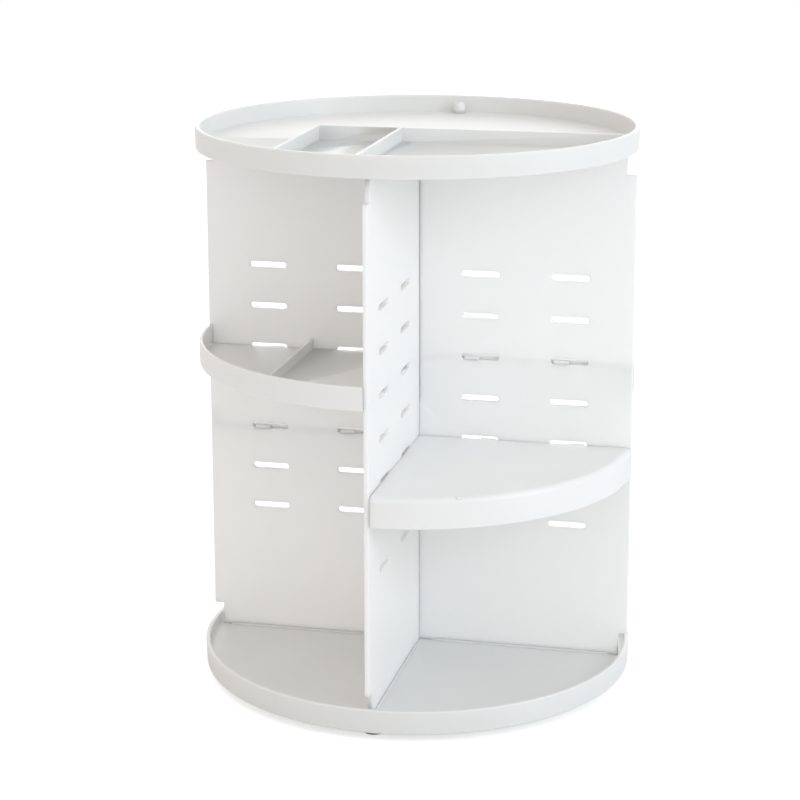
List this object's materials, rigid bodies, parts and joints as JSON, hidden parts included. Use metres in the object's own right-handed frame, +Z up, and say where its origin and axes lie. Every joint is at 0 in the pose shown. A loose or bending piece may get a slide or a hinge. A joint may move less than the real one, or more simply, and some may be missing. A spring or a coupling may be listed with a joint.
{
  "type": "rotating cosmetic organizer tower",
  "caption": "Round turntable tower for cosmetics: crossed upright boards with slotted walls, quarter shelves hung in them, a divided top tray and a rimmed base.",
  "frame": {"origin": "centre of the footprint, on the surface the feet stand on", "axes": "+Z up along the turning axis; the boards lie along X and Y; -Y is the front"},
  "size_m": [0.23, 0.23, 0.2955],
  "materials": {
    "tray_plastic": "white moulded plastic, satin gloss",
    "board_plastic": "thin white moulded plastic, slightly translucent, satin",
    "shelf_plastic": "white moulded plastic, satin gloss",
    "foot_plastic": "white moulded plastic, matt",
    "race_plastic": "off-white acetal, matt",
    "steel": "polished steel",
    "rubber": "grey rubber, matt"
  },
  "bodies": {
    "foot": {"foot_disc": "foot_plastic", "rubber_foot_1": "rubber", "rubber_foot_2": "rubber", "rubber_foot_3": "rubber", "rubber_foot_4": "rubber", "lower_race": "race_plastic"},
    "bearing": {"ball_cage": "race_plastic", "bearing_balls": "steel"},
    "tower": {"base_tray": "tray_plastic", "upper_race": "race_plastic", "race_screws": "steel", "centre_washer": "steel", "centre_screw": "steel", "board_left_right": "board_plastic", "board_front_rear": "board_plastic", "top_tray": "tray_plastic"},
    "shelf_front_left": {"shelf_front_left": "shelf_plastic"},
    "shelf_front_right": {"shelf_front_right": "shelf_plastic"},
    "shelf_rear_left": {"shelf_rear_left": "shelf_plastic"},
    "shelf_rear_right": {"shelf_rear_right": "shelf_plastic"}
  },
  "joints": [
    {"name": "tower_spin", "type": "hinge", "parent": "foot", "child": "tower", "pos_m": [0, 0, 0.00615], "axis": [0, 0, 1], "continuous": true},
    {"name": "cage_roll", "type": "hinge", "parent": "foot", "child": "bearing", "pos_m": [0, 0, 0.00615], "axis": [0, 0, 1], "continuous": true},
    {"name": "shelf_pull_front_left", "type": "slide", "parent": "tower", "child": "shelf_front_left", "axis": [-0.7071, -0.7071, 0], "range_m": [0, 0.12]},
    {"name": "shelf_pull_front_right", "type": "slide", "parent": "tower", "child": "shelf_front_right", "axis": [0.7071, -0.7071, 0], "range_m": [0, 0.12]},
    {"name": "shelf_pull_rear_left", "type": "slide", "parent": "tower", "child": "shelf_rear_left", "axis": [-0.7071, 0.7071, 0], "range_m": [0, 0.12]},
    {"name": "shelf_pull_rear_right", "type": "slide", "parent": "tower", "child": "shelf_rear_right", "axis": [0.7071, 0.7071, 0], "range_m": [0, 0.12]}
  ],
  "couplings": [
    {"joint": "cage_roll", "follows": "tower_spin", "ratio": 0.5}
  ]
}
